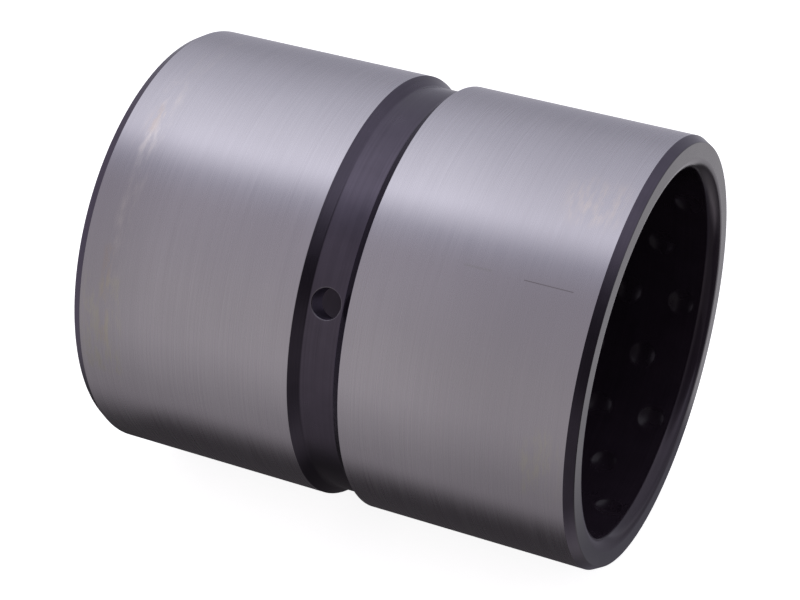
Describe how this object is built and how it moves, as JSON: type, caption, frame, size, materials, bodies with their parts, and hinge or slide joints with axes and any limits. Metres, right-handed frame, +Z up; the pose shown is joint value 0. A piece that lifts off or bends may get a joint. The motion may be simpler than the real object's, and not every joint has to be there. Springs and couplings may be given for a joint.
{
  "type": "pivot pin bush",
  "caption": "One-piece hardened steel plain bush with a ground outside, a grease groove and hole around the middle, chamfered ends, and a dark bore with oil pockets",
  "frame": {"origin": "the middle of the bore, half way between the end faces", "axes": "+X along the bore, +Z up with the bush lying on its side, and the grease hole on the -Y side, 28.2 degrees above horizontal"},
  "size_m": [0.115, 0.095, 0.095],
  "materials": {
    "bush": "fine ground outside, black oxide in the groove, chamfers and bore"
  },
  "bodies": {
    "root": {"bush": "bush"}
  },
  "joints": []
}
